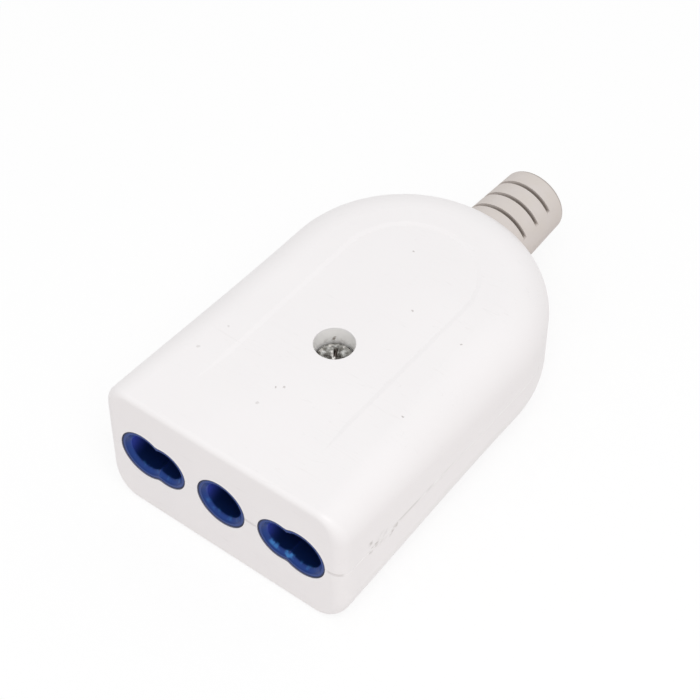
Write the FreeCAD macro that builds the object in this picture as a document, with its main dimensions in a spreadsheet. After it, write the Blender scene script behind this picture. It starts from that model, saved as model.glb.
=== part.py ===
import FreeCAD, Part
import Sketcher
import math
import os
import re
from collections import namedtuple

# Driving sizes in millimetres. Lengths run from the front face, heights from the joint of the two shells.
SIZES = (
    ("body_width", 39.4, "housing width"),
    ("body_length", 59.3, "front face to the rear of the housing"),
    ("upper_height", 10.1, "upper shell above the joint"),
    ("lower_height", 10.6, "lower shell below the joint"),
    ("upper_front_r", 4.25, "shoulder of the upper shell at the front face"),
    ("upper_rear_r", 6.5, "shoulder of the upper shell where the rear arch starts and along it"),
    ("lower_front_r", 4.5, "shoulder of the lower shell at the front face"),
    ("lower_rear_r", 7.4, "shoulder of the lower shell where the rear arch starts and along it"),
    ("front_side_r", 1.9, "rounding of the upright edges of the front face"),
    ("front_edge_r", 0.8, "rounding along its top and bottom"),
    ("wall", 1.8, "shell wall"),
    ("front_wall", 1.6, "shell wall at the front face"),
    ("seam_bevel", 0.08, "bevel where the shells meet"),
    ("panel_width", 19.1, "sunk panel in the top"),
    ("panel_sink", 0.15, "depth of that panel"),
    ("panel_slope", 0.7, "width of its sloped border"),
    ("panel_front", 7.8, "front face to where the panel starts to sink"),
    ("panel_ramp", 6.0, "length over which it sinks"),
    ("lip_height", 1.0, "tongue of the lower shell inside the upper shell"),
    ("lip_wall", 0.8, "tongue thickness"),
    ("lip_gap", 0.1, "clearance round the tongue"),
    ("outer_pitch", 26.0, "spacing of the 5 mm pins"),
    ("inner_pitch", 19.0, "spacing of the 4 mm pins"),
    ("outer_way_r", 2.8, "way for a 5 mm pin"),
    ("inner_way_r", 2.3, "way for a 4 mm pin"),
    ("earth_way_r", 2.8, "way for the earth pin"),
    ("collar_wall", 1.07, "blue rim round each way"),
    ("collar_gap", 0.08, "clearance of the rim in the shells"),
    ("collar_recess", 0.1, "rim behind the front face"),
    ("lead_in", 0.6, "bevel at the mouth of a way"),
    ("waist_r", 0.7, "rounding where two merged openings meet"),
    ("way_length", 7.0, "front face to the contacts"),
    ("insert_depth", 16.8, "front face to the rear of the insert block"),
    ("insert_gap", 0.15, "clearance of the insert in the shells"),
    ("chamber_gap", 0.6, "room round a contact to spread"),
    ("shelf_drop", 4.2, "terminal shelf below the joint"),
    ("shelf_wall", 1.5, "terminal shelf thickness"),
    ("shelf_end", 38.5, "front face to the end of the shelf"),
    ("shelf_inset", 1.5, "shelf edge inside the shell wall"),
    ("barrier_wall", 0.9, "barrier between the terminals"),
    ("barrier_height", 7.0, "barrier above the shelf"),
    ("outer_grip_r", 2.45, "clip bore for a 5 mm pin"),
    ("inner_grip_r", 1.95, "clip bore for a 4 mm pin"),
    ("earth_grip_r", 2.45, "sleeve bore for the earth pin"),
    ("brass", 0.6, "clip sheet thickness"),
    ("slit", 1.0, "slit that lets a clip spread"),
    ("clip_length", 9.0, "length of a contact clip"),
    ("foot_length", 2.5, "foot that joins a clip to its tail"),
    ("foot_width", 3.6, "width of that foot"),
    ("tail_thick", 0.8, "contact tail thickness"),
    ("tail_width", 6.4, "contact tail width"),
    ("tail_end", 4.0, "line and neutral tails beyond their terminals"),
    ("ring_gap", 0.4, "earth tail round the screw boss"),
    ("ring_width", 2.2, "width of that ring"),
    ("terminal_x", 11.7, "line and neutral terminals from the middle"),
    ("terminal_y", 27.0, "line and neutral terminals from the front face"),
    ("earth_terminal_y", 34.4, "earth terminal from the front face"),
    ("washer_width", 6.0, "square wire clamp"),
    ("washer_thick", 0.9, "wire clamp thickness"),
    ("terminal_r", 1.5, "terminal screw thread"),
    ("terminal_length", 4.6, "terminal screw under its head"),
    ("terminal_head_r", 2.6, "terminal screw head"),
    ("terminal_head", 1.7, "terminal screw head height"),
    ("thread_gap", 0.02, "thread allowance"),
    ("hole_gap", 0.2, "clearance round a plain shank"),
    ("screw_y", 23.8, "front face to the case screw"),
    ("boss_r", 4.4, "case screw boss"),
    ("well_r", 2.82, "screw well in the top"),
    ("well_depth", 2.5, "top of the screw head below the top"),
    ("well_round", 0.12, "rounding of the mouth of the well"),
    ("screw_head_r", 2.62, "case screw head"),
    ("screw_head", 1.9, "case screw head height"),
    ("screw_head_round", 0.8, "rounding of that head"),
    ("screw_r", 1.5, "case screw thread"),
    ("screw_length", 11.0, "case screw under its head"),
    ("nut_flats", 5.5, "case nut across flats"),
    ("nut_thick", 2.4, "case nut thickness"),
    ("nut_gap", 0.1, "clearance of the nut in its pocket"),
    ("drive_length", 1.7, "arm of the cross drive, from its middle"),
    ("drive_width", 0.6, "width of the screw drives"),
    ("drive_turn", 28.0, "degrees that the cross drive is turned"),
    ("drive_depth", 1.1, "depth of a screw drive"),
    ("cord_r", 3.6, "cord that the clamp is shaped for"),
    ("clamp_depth", 5.0, "clamp along the cord"),
    ("clamp_level", 0.5, "underside of the clamp above the joint"),
    ("clamp_end", 3.0, "clamp beyond its screws"),
    ("clamp_ear", 2.6, "clamp thickness at its screws"),
    ("clamp_crown", 1.8, "clamp thickness over the cord"),
    ("clamp_pitch", 18.0, "spacing of the clamp screws"),
    ("clamp_screw_r", 1.25, "clamp screw thread"),
    ("clamp_screw_length", 9.0, "clamp screw under its head"),
    ("clamp_head_r", 2.3, "clamp screw head"),
    ("clamp_head", 1.6, "clamp screw head height"),
    ("post_r", 2.7, "clamp post"),
    ("saddle_width", 10.0, "cord saddle in the lower shell"),
    ("saddle_wall", 2.0, "saddle along the cord"),
    ("rib_wall", 1.4, "ribs of the shells"),
    ("rib_drop", 2.6, "rib behind the insert below the shell wall"),
    ("rib_span", 10.0, "length of that rib"),
    ("rib_x", 9.0, "middle of that rib from the middle"),
    ("seat_gap", 0.1, "clearance at a seat along the cord"),
    ("sleeve_out", 12.4, "sleeve behind the housing"),
    ("sleeve_root_r", 5.6, "sleeve from its flange to the rear of the housing"),
    ("sleeve_tip_r", 5.12, "sleeve at its end"),
    ("sleeve_bore_r", 3.9, "cord hole in the sleeve"),
    ("sleeve_round", 0.55, "rounding of the sleeve end"),
    ("port_gap", 0.1, "clearance of the sleeve in the shells"),
    ("flange_r", 7.6, "sleeve flange"),
    ("flange_thick", 1.6, "sleeve flange thickness"),
    ("flange_set", 2.8, "flange inside the rear of the housing"),
    ("slot_first", 2.5, "first sleeve slot behind the housing"),
    ("slot_pitch", 3.22, "sleeve slot spacing"),
    ("slot_width", 0.7, "sleeve slot width"),
    ("slot_web", 2.5, "sleeve wall left at each side of the middle"),
)
NAMES = {name for name, _, _ in SIZES}

HALF_W = "body_width / 2"
HEIGHT = {1: "upper_height", -1: "lower_height"}
FRONT_R = {1: "upper_front_r", -1: "lower_front_r"}
REAR_R = {1: "upper_rear_r", -1: "lower_rear_r"}
ROOM_H = {1: "(upper_height - wall)", -1: "(lower_height - wall)"}
ROOM_R = {1: "(upper_rear_r - wall)", -1: "(lower_rear_r - wall)"}
ARCH_Y = "(body_length - body_width / 2)"
ROOM_W = "(body_width / 2 - wall)"
OUTER_X = "outer_pitch / 2"
INNER_X = "inner_pitch / 2"
RING_R = "(boss_r + ring_gap + ring_width)"
BARRIER_X = f"({RING_R} + ring_gap / 2)"
TAIL_TOP = "(tail_thick - shelf_drop)"
WASHER_TOP = "(tail_thick + washer_thick - shelf_drop)"
SEAT_Z = "(upper_height - well_depth - screw_head)"
FLANGE_REAR = "(body_length - flange_set)"
FLANGE_FRONT = "(body_length - flange_set - flange_thick)"
RIB_Y = f"({FLANGE_FRONT} - seat_gap - rib_wall)"
# The cord clamp stands midway between the terminal shelf and the rib in front of the flange.
CLAMP_Y = f"((shelf_end + {FLANGE_FRONT} - rib_wall) / 2)"
SLEEVE_END = "(body_length + sleeve_out)"
NUT_R = "(nut_flats / sqrt(3))"

doc = FreeCAD.newDocument("InlineSocket")
sheet = doc.addObject("Spreadsheet::Sheet", "Sizes")
for row, (name, size, note) in enumerate(SIZES, 1):
    sheet.set(f"A{row}", note)
    sheet.set(f"B{row}", str(size))
    sheet.setAlias(f"B{row}", name)
doc.recompute()

# Places closer than this are the same place.
NEAR = 1e-4
SLOT_COUNT = 3
Arc = namedtuple("Arc", "x y radius")
FORWARD = {"XY": 1, "XZ": -1, "YZ": 1}
plane_of = {}


def formula(text):
    """The text as a sheet expression."""
    return re.sub(r"[a-z_]\w*", lambda word: "Sizes." + word[0] if word[0] in NAMES else word[0], text)


def value(text):
    """The text worked out from the sheet."""
    return float(sheet.evalExpression(formula(text)))


def body(name):
    """A piece of the assembly, drawn from the front face and the joint of the shells."""
    piece = doc.addObject("PartDesign::Body", name)
    piece.Label = name
    piece.setExpression("Placement.Base.y", formula(f"-{SLEEVE_END} / 2"))
    piece.setExpression("Placement.Base.z", formula("lower_height"))
    return piece


def sketch(piece, plane, at="0"):
    """A sketch parallel to a main plane of the piece, at a distance from it."""
    drawing = piece.newObject("Sketcher::SketchObject", "Sketch")
    base = next(f for f in piece.Origin.OriginFeatures if f.Role == plane + "_Plane")
    drawing.AttachmentSupport = [(base, "")]
    drawing.MapMode = "FlatFace"
    drawing.setExpression("AttachmentOffset.Base.z", formula(f"{FORWARD[plane]} * ({at})"))
    plane_of[drawing.Name] = plane
    return drawing


def tie(drawing, kind, text, *where):
    """A dimension of the sketch that follows the sheet."""
    index = drawing.addConstraint(Sketcher.Constraint(kind, *where, value(text)))
    drawing.setExpression(f"Constraints[{index}]", formula(text))


def outline(drawing, steps):
    """A closed outline through corners, straight or along an arc."""
    corners, arcs = [], {}
    for step in steps:
        if isinstance(step, Arc):
            arcs[len(corners) - 1] = step
        else:
            corners.append(step)
    points = [FreeCAD.Vector(value(x), value(y), 0) for x, y in corners]
    edges = []
    for i, start in enumerate(points):
        end = points[(i + 1) % len(points)]
        if i not in arcs:
            edges.append((drawing.addGeometry(Part.LineSegment(start, end), False), 1, 2))
            continue
        arc = arcs[i]
        centre = FreeCAD.Vector(value(arc.x), value(arc.y), 0)
        first, last = start - centre, end - centre
        left = first.cross(last).z > 0
        if not left:
            first, last = last, first
        low, high = math.atan2(first.y, first.x), math.atan2(last.y, last.x)
        if high < low:
            high += math.tau
        circle = Part.Circle(centre, FreeCAD.Vector(0, 0, 1), value(arc.radius))
        edge = drawing.addGeometry(Part.ArcOfCircle(circle, low, high), False)
        tie(drawing, "Radius", arc.radius, edge)
        edges.append((edge, 1, 2) if left else (edge, 2, 1))
    for i, (x, y) in enumerate(corners):
        before, _, meets = edges[i - 1]
        edge, begins, _ = edges[i]
        drawing.addConstraint(Sketcher.Constraint("Coincident", before, meets, edge, begins))
        tie(drawing, "DistanceX", x, -1, 1, edge, begins)
        tie(drawing, "DistanceY", y, -1, 1, edge, begins)
    return drawing


def box(drawing, x0, x1, y0, y1):
    """A rectangle between two corners."""
    return outline(drawing, [(x0, y0), (x1, y0), (x1, y1), (x0, y1)])


def circles(drawing, *rounds):
    """Circles given by centre and radius."""
    for x, y, radius in rounds:
        circle = Part.Circle(FreeCAD.Vector(value(x), value(y), 0), FreeCAD.Vector(0, 0, 1), value(radius))
        edge = drawing.addGeometry(circle, False)
        tie(drawing, "DistanceX", x, -1, 1, edge, 3)
        tie(drawing, "DistanceY", y, -1, 1, edge, 3)
        tie(drawing, "Radius", radius, edge)
    return drawing


def extrude(piece, kind, drawing, length, towards):
    """A pad or pocket towards the plus or minus side of its plane, or both ways when towards is 0."""
    step = piece.newObject("PartDesign::" + kind, kind)
    step.Profile = drawing
    drawing.Visibility = False
    step.setExpression("Length", formula(length))
    normal = FORWARD[plane_of[drawing.Name]] * (1 if kind == "Pad" else -1)
    if towards == 0:
        step.SideType = "Symmetric"
    else:
        step.Reversed = normal != towards
    return step


def pad(piece, drawing, length, towards=1):
    return extrude(piece, "Pad", drawing, length, towards)


def pocket(piece, drawing, length, towards=1):
    return extrude(piece, "Pocket", drawing, length, towards)


def turn(piece, kind, drawing, angle=360):
    """A revolution or groove about the upright axis of its sketch."""
    step = piece.newObject("PartDesign::" + kind, kind)
    step.Profile = drawing
    drawing.Visibility = False
    step.ReferenceAxis = (drawing, ["V_Axis"])
    step.Angle = angle
    return step


def dress(piece, kind, size_name, size, choose):
    """A fillet or chamfer on the chosen edges of the piece so far."""
    doc.recompute()
    base = piece.Tip
    names = [f"Edge{i}" for i, edge in enumerate(base.Shape.Edges, 1) if choose(edge)]
    step = piece.newObject("PartDesign::" + kind, kind)
    step.Base = (base, names)
    step.setExpression(size_name, formula(size))
    return step


def within(edge, axis, low, high):
    """Whether an edge lies between two levels of an axis."""
    box_of = edge.BoundBox
    return getattr(box_of, axis + "Min") > low - NEAR and getattr(box_of, axis + "Max") < high + NEAR


def round_off(name, base, chosen, along, radius):
    """A fillet along a chain of edges, with a radius of its own at each point where two of them meet."""
    doc.recompute()
    chain = [(i, edge) for i, edge in enumerate(base.Shape.Edges, 1) if chosen(edge)]
    first = chain[0][1]
    backwards = along(first.valueAt(first.FirstParameter)) > along(first.valueAt(first.LastParameter))
    rows = []
    for i, edge in chain:
        ends = sorted((corner.Point for corner in edge.Vertexes), key=along, reverse=backwards)
        rows.append((i, *(radius(end) for end in ends)))
    step = doc.addObject("Part::Fillet", name)
    step.Base = base
    step.Edges = rows
    return step


def waist(edge):
    """Whether an edge stands where two merged openings of the front face meet."""
    box_of = edge.BoundBox
    upright = box_of.XLength + box_of.ZLength < NEAR and abs(box_of.Center.z) > value("inner_way_r")
    return upright and within(edge, "Y", 0, value("front_wall"))


def flip(side, text):
    """A height above the joint for the upper shell, below it for the lower."""
    return text if side > 0 else f"-({text})"


def section(side, half_width, half_height, radius):
    """Cross-section of one shell, rounded along its shoulders."""
    knee, top = (flip(side, text) for text in (f"{half_height} - {radius}", half_height))
    return [(f"-({half_width})", "0"), (half_width, "0"),
            (half_width, knee), Arc(f"{half_width} - {radius}", knee, radius),
            (f"{half_width} - {radius}", top), (f"-({half_width} - {radius})", top),
            Arc(f"-({half_width} - {radius})", knee, radius), (f"-({half_width})", knee)]


def half_section(side, half_width, half_height, radius):
    """The same cross-section from the middle outwards, for the rear arch."""
    knee, top = (flip(side, text) for text in (f"{half_height} - {radius}", half_height))
    return [("0", "0"), (half_width, "0"), (half_width, knee),
            Arc(f"{half_width} - {radius}", knee, radius), (f"{half_width} - {radius}", top), ("0", top)]


def plan(drawing, half, front):
    """Outline seen from above, straight along the sides and arched at the rear."""
    return outline(drawing, [(f"-{half}", front), (half, front), (half, ARCH_Y), Arc("0", ARCH_Y, half),
                             ("0", f"{ARCH_Y} + {half}"), Arc("0", ARCH_Y, half), (f"-{half}", ARCH_Y)])


def outer_form(name, side):
    """One half of the housing, solid. Its shoulders grow from the front face to the rear arch."""
    block = doc.addObject("Part::Extrusion", f"{name}_block")
    block.Base = plan(doc.addObject("Sketcher::SketchObject", f"{name}_plan"), HALF_W, "0")
    block.DirMode = "Normal"
    block.Reversed = side < 0
    block.Solid = True
    block.setExpression("LengthFwd", formula(HEIGHT[side]))
    level, half_way = value(HEIGHT[side]), value(ARCH_Y) / 2
    shoulders = round_off(
        f"{name}_shoulders", block,
        lambda edge: within(edge, "Z", side * level, side * level) and not within(edge, "Y", 0, 0),
        lambda point: math.atan2(point.x, point.y - half_way),
        lambda point: value(FRONT_R[side] if point.y < NEAR else REAR_R[side]))
    return round_off(
        f"{name}_front", shoulders,
        lambda edge: within(edge, "Y", 0, 0) and not within(edge, "Z", 0, 0),
        lambda point: math.atan2(point.x, abs(point.z)),
        lambda point: value("front_edge_r" if abs(point.z) > level - NEAR else "front_side_r"))


def lip_joint(piece, side):
    """A tongue round the lower shell, or the rebate for it in the upper shell."""
    spare = "lip_gap" if side > 0 else "0"
    x0, x1, height = ROOM_W, f"{ROOM_W} + lip_wall + {spare}", f"lip_height + {spare}"
    straight, arch = (pocket, "Groove") if side > 0 else (pad, "Revolution")
    for low, high in ((x0, x1), (f"-({x1})", f"-({x0})")):
        straight(piece, box(sketch(piece, "XZ", "front_wall"), low, high, "0", height),
                 f"{ARCH_Y} - front_wall")
    turn(piece, arch, box(sketch(piece, "XZ", ARCH_Y), x0, x1, "0", height), 180)


def shell(name, side):
    """One half of the housing with its room, pin openings, screw boss and sleeve seat."""
    piece = body(name)
    piece.BaseFeature = outer_form(name, side)
    room = (side, ROOM_W, ROOM_H[side], ROOM_R[side])
    dress(piece, "Chamfer", "Size", "seam_bevel", lambda edge: within(edge, "Z", 0, 0))
    pocket(piece, outline(sketch(piece, "XZ", "front_wall"), section(*room)), f"{ARCH_Y} - front_wall")
    turn(piece, "Groove", outline(sketch(piece, "XZ", ARCH_Y), half_section(*room)), 180)
    lip_joint(piece, side)
    pad(piece, circles(sketch(piece, "XY"), ("0", "screw_y", "boss_r")), f"{HEIGHT[side]} - wall / 2", side)

    rim = "collar_wall + collar_gap"
    pocket(piece, circles(sketch(piece, "XZ"), (OUTER_X, "0", f"outer_way_r + {rim}"),
                          ("0", "0", f"earth_way_r + {rim}"), (f"-{OUTER_X}", "0", f"outer_way_r + {rim}")),
           "front_wall")
    pocket(piece, circles(sketch(piece, "XZ"), (INNER_X, "0", f"inner_way_r + {rim}"),
                          (f"-{INNER_X}", "0", f"inner_way_r + {rim}")), "front_wall")
    dress(piece, "Fillet", "Radius", "waist_r", waist)

    low, top = flip(side, f"{ROOM_H[side]} - rib_drop"), flip(side, f"{ROOM_H[side]} + wall / 6")
    for x0 in ("-rib_x - rib_span / 2", "rib_x - rib_span / 2"):
        pad(piece, box(sketch(piece, "XZ", "insert_depth + seat_gap"), x0, f"{x0} + rib_span", low, top),
            "rib_wall")

    reach, roof = "flange_r - rib_wall / 2", flip(side, ROOM_H[side])
    pad(piece, box(sketch(piece, "XZ", RIB_Y), f"-({reach})", reach, "0", roof), "rib_wall")
    pocket(piece, circles(sketch(piece, "XZ", RIB_Y), ("0", "0", "cord_r + seat_gap")), "rib_wall")
    seat = sketch(piece, "XZ", f"{FLANGE_FRONT} - seat_gap")
    pocket(piece, circles(seat, ("0", "0", "flange_r + seat_gap")), "flange_thick + seat_gap")
    pocket(piece, circles(sketch(piece, "XZ", FLANGE_FRONT), ("0", "0", "sleeve_root_r + port_gap")),
           "flange_thick + flange_set")
    return piece


def upper_shell():
    """The half with the sunk panel and the screw well in its top."""
    piece = shell("upper_shell", 1)
    half, floor = "panel_width / 2", "upper_height - panel_sink"
    panel = piece.newObject("PartDesign::SubtractiveLoft", "Loft")
    panel.Profile = plan(sketch(piece, "XY", "upper_height"), f"({half} + panel_slope)", "panel_front")
    panel.Sections = [plan(sketch(piece, "XY", floor), f"({half})", "panel_front")]
    panel.Ruled = True
    ramp = [("panel_front", floor), ("panel_front + panel_ramp", floor), ("panel_front", "upper_height")]
    pad(piece, outline(sketch(piece, "YZ"), ramp), "panel_width + panel_slope * 2", 0)
    pocket(piece, circles(sketch(piece, "XY", SEAT_Z), ("0", "screw_y", "well_r")),
           "well_depth + screw_head", 1)
    level, wide = value(floor), value("well_r")
    dress(piece, "Fillet", "Radius", "well_round",
          lambda edge: within(edge, "Z", level, level) and within(edge, "X", -wide, wide))
    pocket(piece, circles(sketch(piece, "XY"), ("0", "screw_y", "screw_r + hole_gap")), SEAT_Z, 1)
    return piece


def lower_shell():
    """The half with the nut, the cord saddle and the clamp posts."""
    piece = shell("lower_shell", -1)
    floor = f"-({ROOM_H[-1]} + wall / 3)"
    pocket(piece, hexagon(sketch(piece, "XY"), f"{NUT_R} + nut_gap"), "nut_thick", -1)
    pocket(piece, circles(sketch(piece, "XY"), ("0", "screw_y", "screw_r + hole_gap")),
           f"screw_length - {SEAT_Z} + seat_gap", -1)
    saddle, half = f"{CLAMP_Y} - saddle_wall / 2", "saddle_width / 2"
    pad(piece, box(sketch(piece, "XZ", saddle), f"-{half}", half, floor, "-cord_r / 2"), "saddle_wall")
    pocket(piece, circles(sketch(piece, "XZ", saddle), ("0", "0", "cord_r")), "saddle_wall")
    posts = [(x, CLAMP_Y, "post_r") for x in ("-clamp_pitch / 2", "clamp_pitch / 2")]
    pad(piece, circles(sketch(piece, "XY", floor), *posts), f"clamp_level - ({floor})")
    bores = [(x, y, "clamp_screw_r + thread_gap") for x, y, _ in posts]
    pocket(piece, circles(sketch(piece, "XY", "clamp_level"), *bores),
           "clamp_screw_length - clamp_ear + seat_gap", -1)
    for x0 in ("-rib_x - rib_span / 2", "rib_x - rib_span / 2"):
        pad(piece, box(sketch(piece, "XZ", "shelf_end - rib_wall * 2"), x0, f"{x0} + rib_span",
                       floor, "-(shelf_drop + shelf_wall)"), "rib_wall")
    return piece


def hexagon(drawing, radius):
    """A hexagon round the case screw, corners to the front and rear."""
    wide, tall = f"({radius}) * sqrt(3) / 2", f"({radius}) / 2"
    return outline(drawing, [("0", f"screw_y - ({radius})"), (wide, f"screw_y - {tall}"),
                             (wide, f"screw_y + {tall}"), ("0", f"screw_y + ({radius})"),
                             (f"-({wide})", f"screw_y + {tall}"), (f"-({wide})", f"screw_y - {tall}")])


def socket_insert():
    """The blue moulding: collars with the pin ways, contact chambers and the terminal shelf."""
    piece = body("socket_insert")
    half_width = f"{ROOM_W} - insert_gap"
    for side in (1, -1):
        block = section(side, half_width, f"{ROOM_H[side]} - insert_gap", f"({ROOM_R[side]} - insert_gap)")
        pad(piece, outline(sketch(piece, "XZ", "front_wall"), block), "insert_depth - front_wall")

    outer = [(OUTER_X, "outer_way_r"), ("0", "earth_way_r"), (f"-{OUTER_X}", "outer_way_r")]
    inner = [(INNER_X, "inner_way_r"), (f"-{INNER_X}", "inner_way_r")]
    for ways in (outer, inner):
        collars = [(x, "0", f"{r} + collar_wall") for x, r in ways]
        pad(piece, circles(sketch(piece, "XZ", "front_wall"), *collars), "front_wall - collar_recess", -1)
    dress(piece, "Fillet", "Radius", "waist_r + collar_gap", waist)
    for ways in (outer, inner):
        pocket(piece, circles(sketch(piece, "XZ", "collar_recess"), *[(x, "0", r) for x, r in ways]),
               "way_length - collar_recess")
    mouth, widest = value("collar_recess"), max(value(r) for _, r in outer)
    dress(piece, "Chamfer", "Size", "lead_in",
          lambda edge: within(edge, "Y", mouth, mouth) and within(edge, "Z", -widest, widest))

    roof, floor = "outer_grip_r + brass + chamber_gap", "-shelf_drop"
    near = f"{INNER_X} - inner_grip_r - brass - chamber_gap"
    far = f"{OUTER_X} + outer_grip_r + brass + chamber_gap"
    earth = "earth_grip_r + brass + chamber_gap"
    for x0, x1 in ((near, far), (f"-({far})", f"-({near})"), (f"-({earth})", earth)):
        pocket(piece, box(sketch(piece, "XZ", "way_length"), x0, x1, floor, roof),
               "insert_depth - way_length")

    edge_x, shelf_under = f"({ROOM_W} - shelf_inset)", "-(shelf_drop + shelf_wall)"
    pad(piece, box(sketch(piece, "XY", shelf_under), f"-{edge_x}", edge_x,
                   "insert_depth - shelf_wall", "shelf_end"), "shelf_wall")
    barrier_end = f"({BARRIER_X} + barrier_wall)"
    for x0, x1 in ((BARRIER_X, barrier_end), (f"-{barrier_end}", f"-{BARRIER_X}")):
        root = sketch(piece, "XY", "-shelf_drop - shelf_wall / 2")
        pad(piece, box(root, x0, x1, "insert_depth", "shelf_end"), "barrier_height + shelf_wall / 2")
    holes = [(x, y, "terminal_r + hole_gap") for x, y in TERMINALS.values()]
    pocket(piece, circles(sketch(piece, "XY", shelf_under), ("0", "screw_y", "boss_r + ring_gap"), *holes),
           "shelf_wall", 1)
    return piece


TERMINALS = {"line": ("-terminal_x", "terminal_y"), "neutral": ("terminal_x", "terminal_y"),
             "earth": ("0", "earth_terminal_y")}


def clip_at(side, text):
    """A distance from the middle towards the line or neutral side."""
    return text if side > 0 else f"-({text})"


def pole_contact(name, side):
    """Rolled clip for two pin sizes, with a foot down to its flat tail."""
    piece = body(name)
    start, end = "way_length", "way_length + clip_length"
    outer_x, inner_x = clip_at(side, OUTER_X), clip_at(side, INNER_X)
    pad(piece, circles(sketch(piece, "XZ", start), (outer_x, "0", "outer_grip_r + brass")), "clip_length")
    pad(piece, circles(sketch(piece, "XZ", start), (inner_x, "0", "inner_grip_r + brass")), "clip_length")
    x0, x1 = (clip_at(side, f"{OUTER_X} {sign} foot_width / 2") for sign in "-+")
    foot = sketch(piece, "XZ", f"{end} - foot_length")
    pad(piece, box(foot, x0, x1, "-shelf_drop", "-(outer_grip_r + brass / 2)"), "foot_length")
    pocket(piece, circles(sketch(piece, "XZ", start), (outer_x, "0", "outer_grip_r")), "clip_length")
    pocket(piece, circles(sketch(piece, "XZ", start), (inner_x, "0", "inner_grip_r")), "clip_length")
    x0, x1 = (clip_at(side, text) for text in (f"{INNER_X} - inner_grip_r - brass * 2", INNER_X))
    pocket(piece, box(sketch(piece, "XZ", start), x0, x1, "-slit / 2", "slit / 2"), "clip_length")
    x0, x1 = (clip_at(side, f"terminal_x {sign} tail_width / 2") for sign in "-+")
    tail = sketch(piece, "XY", "-shelf_drop")
    pad(piece, box(tail, x0, x1, f"{end} - foot_length", "terminal_y + tail_end"), "tail_thick")
    terminal = (clip_at(side, "terminal_x"), "terminal_y", "terminal_r + thread_gap")
    pocket(piece, circles(sketch(piece, "XY", "-shelf_drop"), terminal), "tail_thick", 1)
    return piece


def earth_contact():
    """Split sleeve for the earth pin, with a tail that passes round the screw boss."""
    piece = body("earth_contact")
    start, end = "way_length", "way_length + clip_length"
    pad(piece, circles(sketch(piece, "XZ", start), ("0", "0", "earth_grip_r + brass")), "clip_length")
    pad(piece, box(sketch(piece, "XZ", f"{end} - foot_length"), "-foot_width / 2", "foot_width / 2",
                   "-shelf_drop", "-(earth_grip_r + brass / 2)"), "foot_length")
    pocket(piece, circles(sketch(piece, "XZ", start), ("0", "0", "earth_grip_r")), "clip_length")
    pocket(piece, box(sketch(piece, "XZ", start), "-slit / 2", "slit / 2", "0", "earth_grip_r + brass * 2"),
           "clip_length")
    strap = "(ring_width + foot_width) / 2"
    pad(piece, box(sketch(piece, "XY", "-shelf_drop"), f"-{strap}", strap, f"{end} - foot_length",
                   f"screw_y - {RING_R} + ring_width / 2"), "tail_thick")
    pad(piece, circles(sketch(piece, "XY", "-shelf_drop"), ("0", "screw_y", RING_R)), "tail_thick")
    pad(piece, box(sketch(piece, "XY", "-shelf_drop"), "-tail_width / 2", "tail_width / 2", "screw_y",
                   "earth_terminal_y + tail_width / 2"), "tail_thick")
    holes = [("0", "screw_y", "boss_r + ring_gap"), ("0", "earth_terminal_y", "terminal_r + thread_gap")]
    pocket(piece, circles(sketch(piece, "XY", "-shelf_drop"), *holes), "tail_thick", 1)
    return piece


def wire_clamp(name, x, y):
    """Square washer that holds a wire against a tail."""
    piece = body(name)
    x0, x1, y0, y1 = (f"{at} {sign} washer_width / 2" for at in (x, y) for sign in "-+")
    pad(piece, box(sketch(piece, "XY", TAIL_TOP), x0, x1, y0, y1), "washer_thick")
    hole = (x, y, "terminal_r + hole_gap")
    pocket(piece, circles(sketch(piece, "XY", TAIL_TOP), hole), "washer_thick", 1)
    return piece


def slotted_screw(name, x, y, seat, head_r, head, shank_r, length):
    """Cheese-head screw with a straight slot, its head on a seat."""
    piece = body(name)
    pad(piece, circles(sketch(piece, "XY", seat), (x, y, head_r)), head)
    dress(piece, "Fillet", "Radius", "screw_head_round / 3",
          lambda edge: within(edge, "Z", value(f"{seat} + {head}"), value(f"{seat} + {head}")))
    pad(piece, circles(sketch(piece, "XY", seat), (x, y, shank_r)), length, -1)
    x0, x1 = (f"{x} {sign} {head_r} * 2" for sign in "-+")
    y0, y1 = (f"{y} {sign} drive_width / 2" for sign in "-+")
    pocket(piece, box(sketch(piece, "XY", f"{seat} + {head}"), x0, x1, y0, y1), f"{head} / 2", -1)
    return piece


def case_screw():
    """Pan-head screw with a cross drive, at the bottom of the well."""
    piece = body("case_screw")
    top = f"{SEAT_Z} + screw_head"
    pad(piece, circles(sketch(piece, "XY", SEAT_Z), ("0", "screw_y", "screw_head_r")), "screw_head")
    level = value(top)
    dress(piece, "Fillet", "Radius", "screw_head_round", lambda edge: within(edge, "Z", level, level))
    pad(piece, circles(sketch(piece, "XY", SEAT_Z), ("0", "screw_y", "screw_r")), "screw_length", -1)
    arm, half = "drive_length", "drive_width / 2"
    cross = [(arm, half), (half, half), (half, arm), (f"-{half}", arm), (f"-{half}", half),
             (f"-{arm}", half), (f"-{arm}", f"-{half}"), (f"-{half}", f"-{half}"), (f"-{half}", f"-{arm}"),
             (half, f"-{arm}"), (half, f"-{half}"), (arm, f"-{half}")]
    drive = sketch(piece, "XY", top)
    about_z = FreeCAD.Rotation(FreeCAD.Vector(0, 0, 1), value("drive_turn"))
    drive.AttachmentOffset = FreeCAD.Placement(FreeCAD.Vector(), about_z)
    drive.setExpression("AttachmentOffset.Base.y", formula("screw_y"))
    drive.setExpression("AttachmentOffset.Rotation.Angle", formula("drive_turn"))
    pocket(piece, outline(drive, cross), "drive_depth", -1)
    return piece


def case_nut():
    """Hexagon nut in the boss of the lower shell."""
    piece = body("case_nut")
    pad(piece, hexagon(sketch(piece, "XY", "-nut_thick"), NUT_R), "nut_thick")
    pocket(piece, circles(sketch(piece, "XY", "-nut_thick"), ("0", "screw_y", "screw_r + thread_gap")),
           "nut_thick", 1)
    return piece


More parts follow.
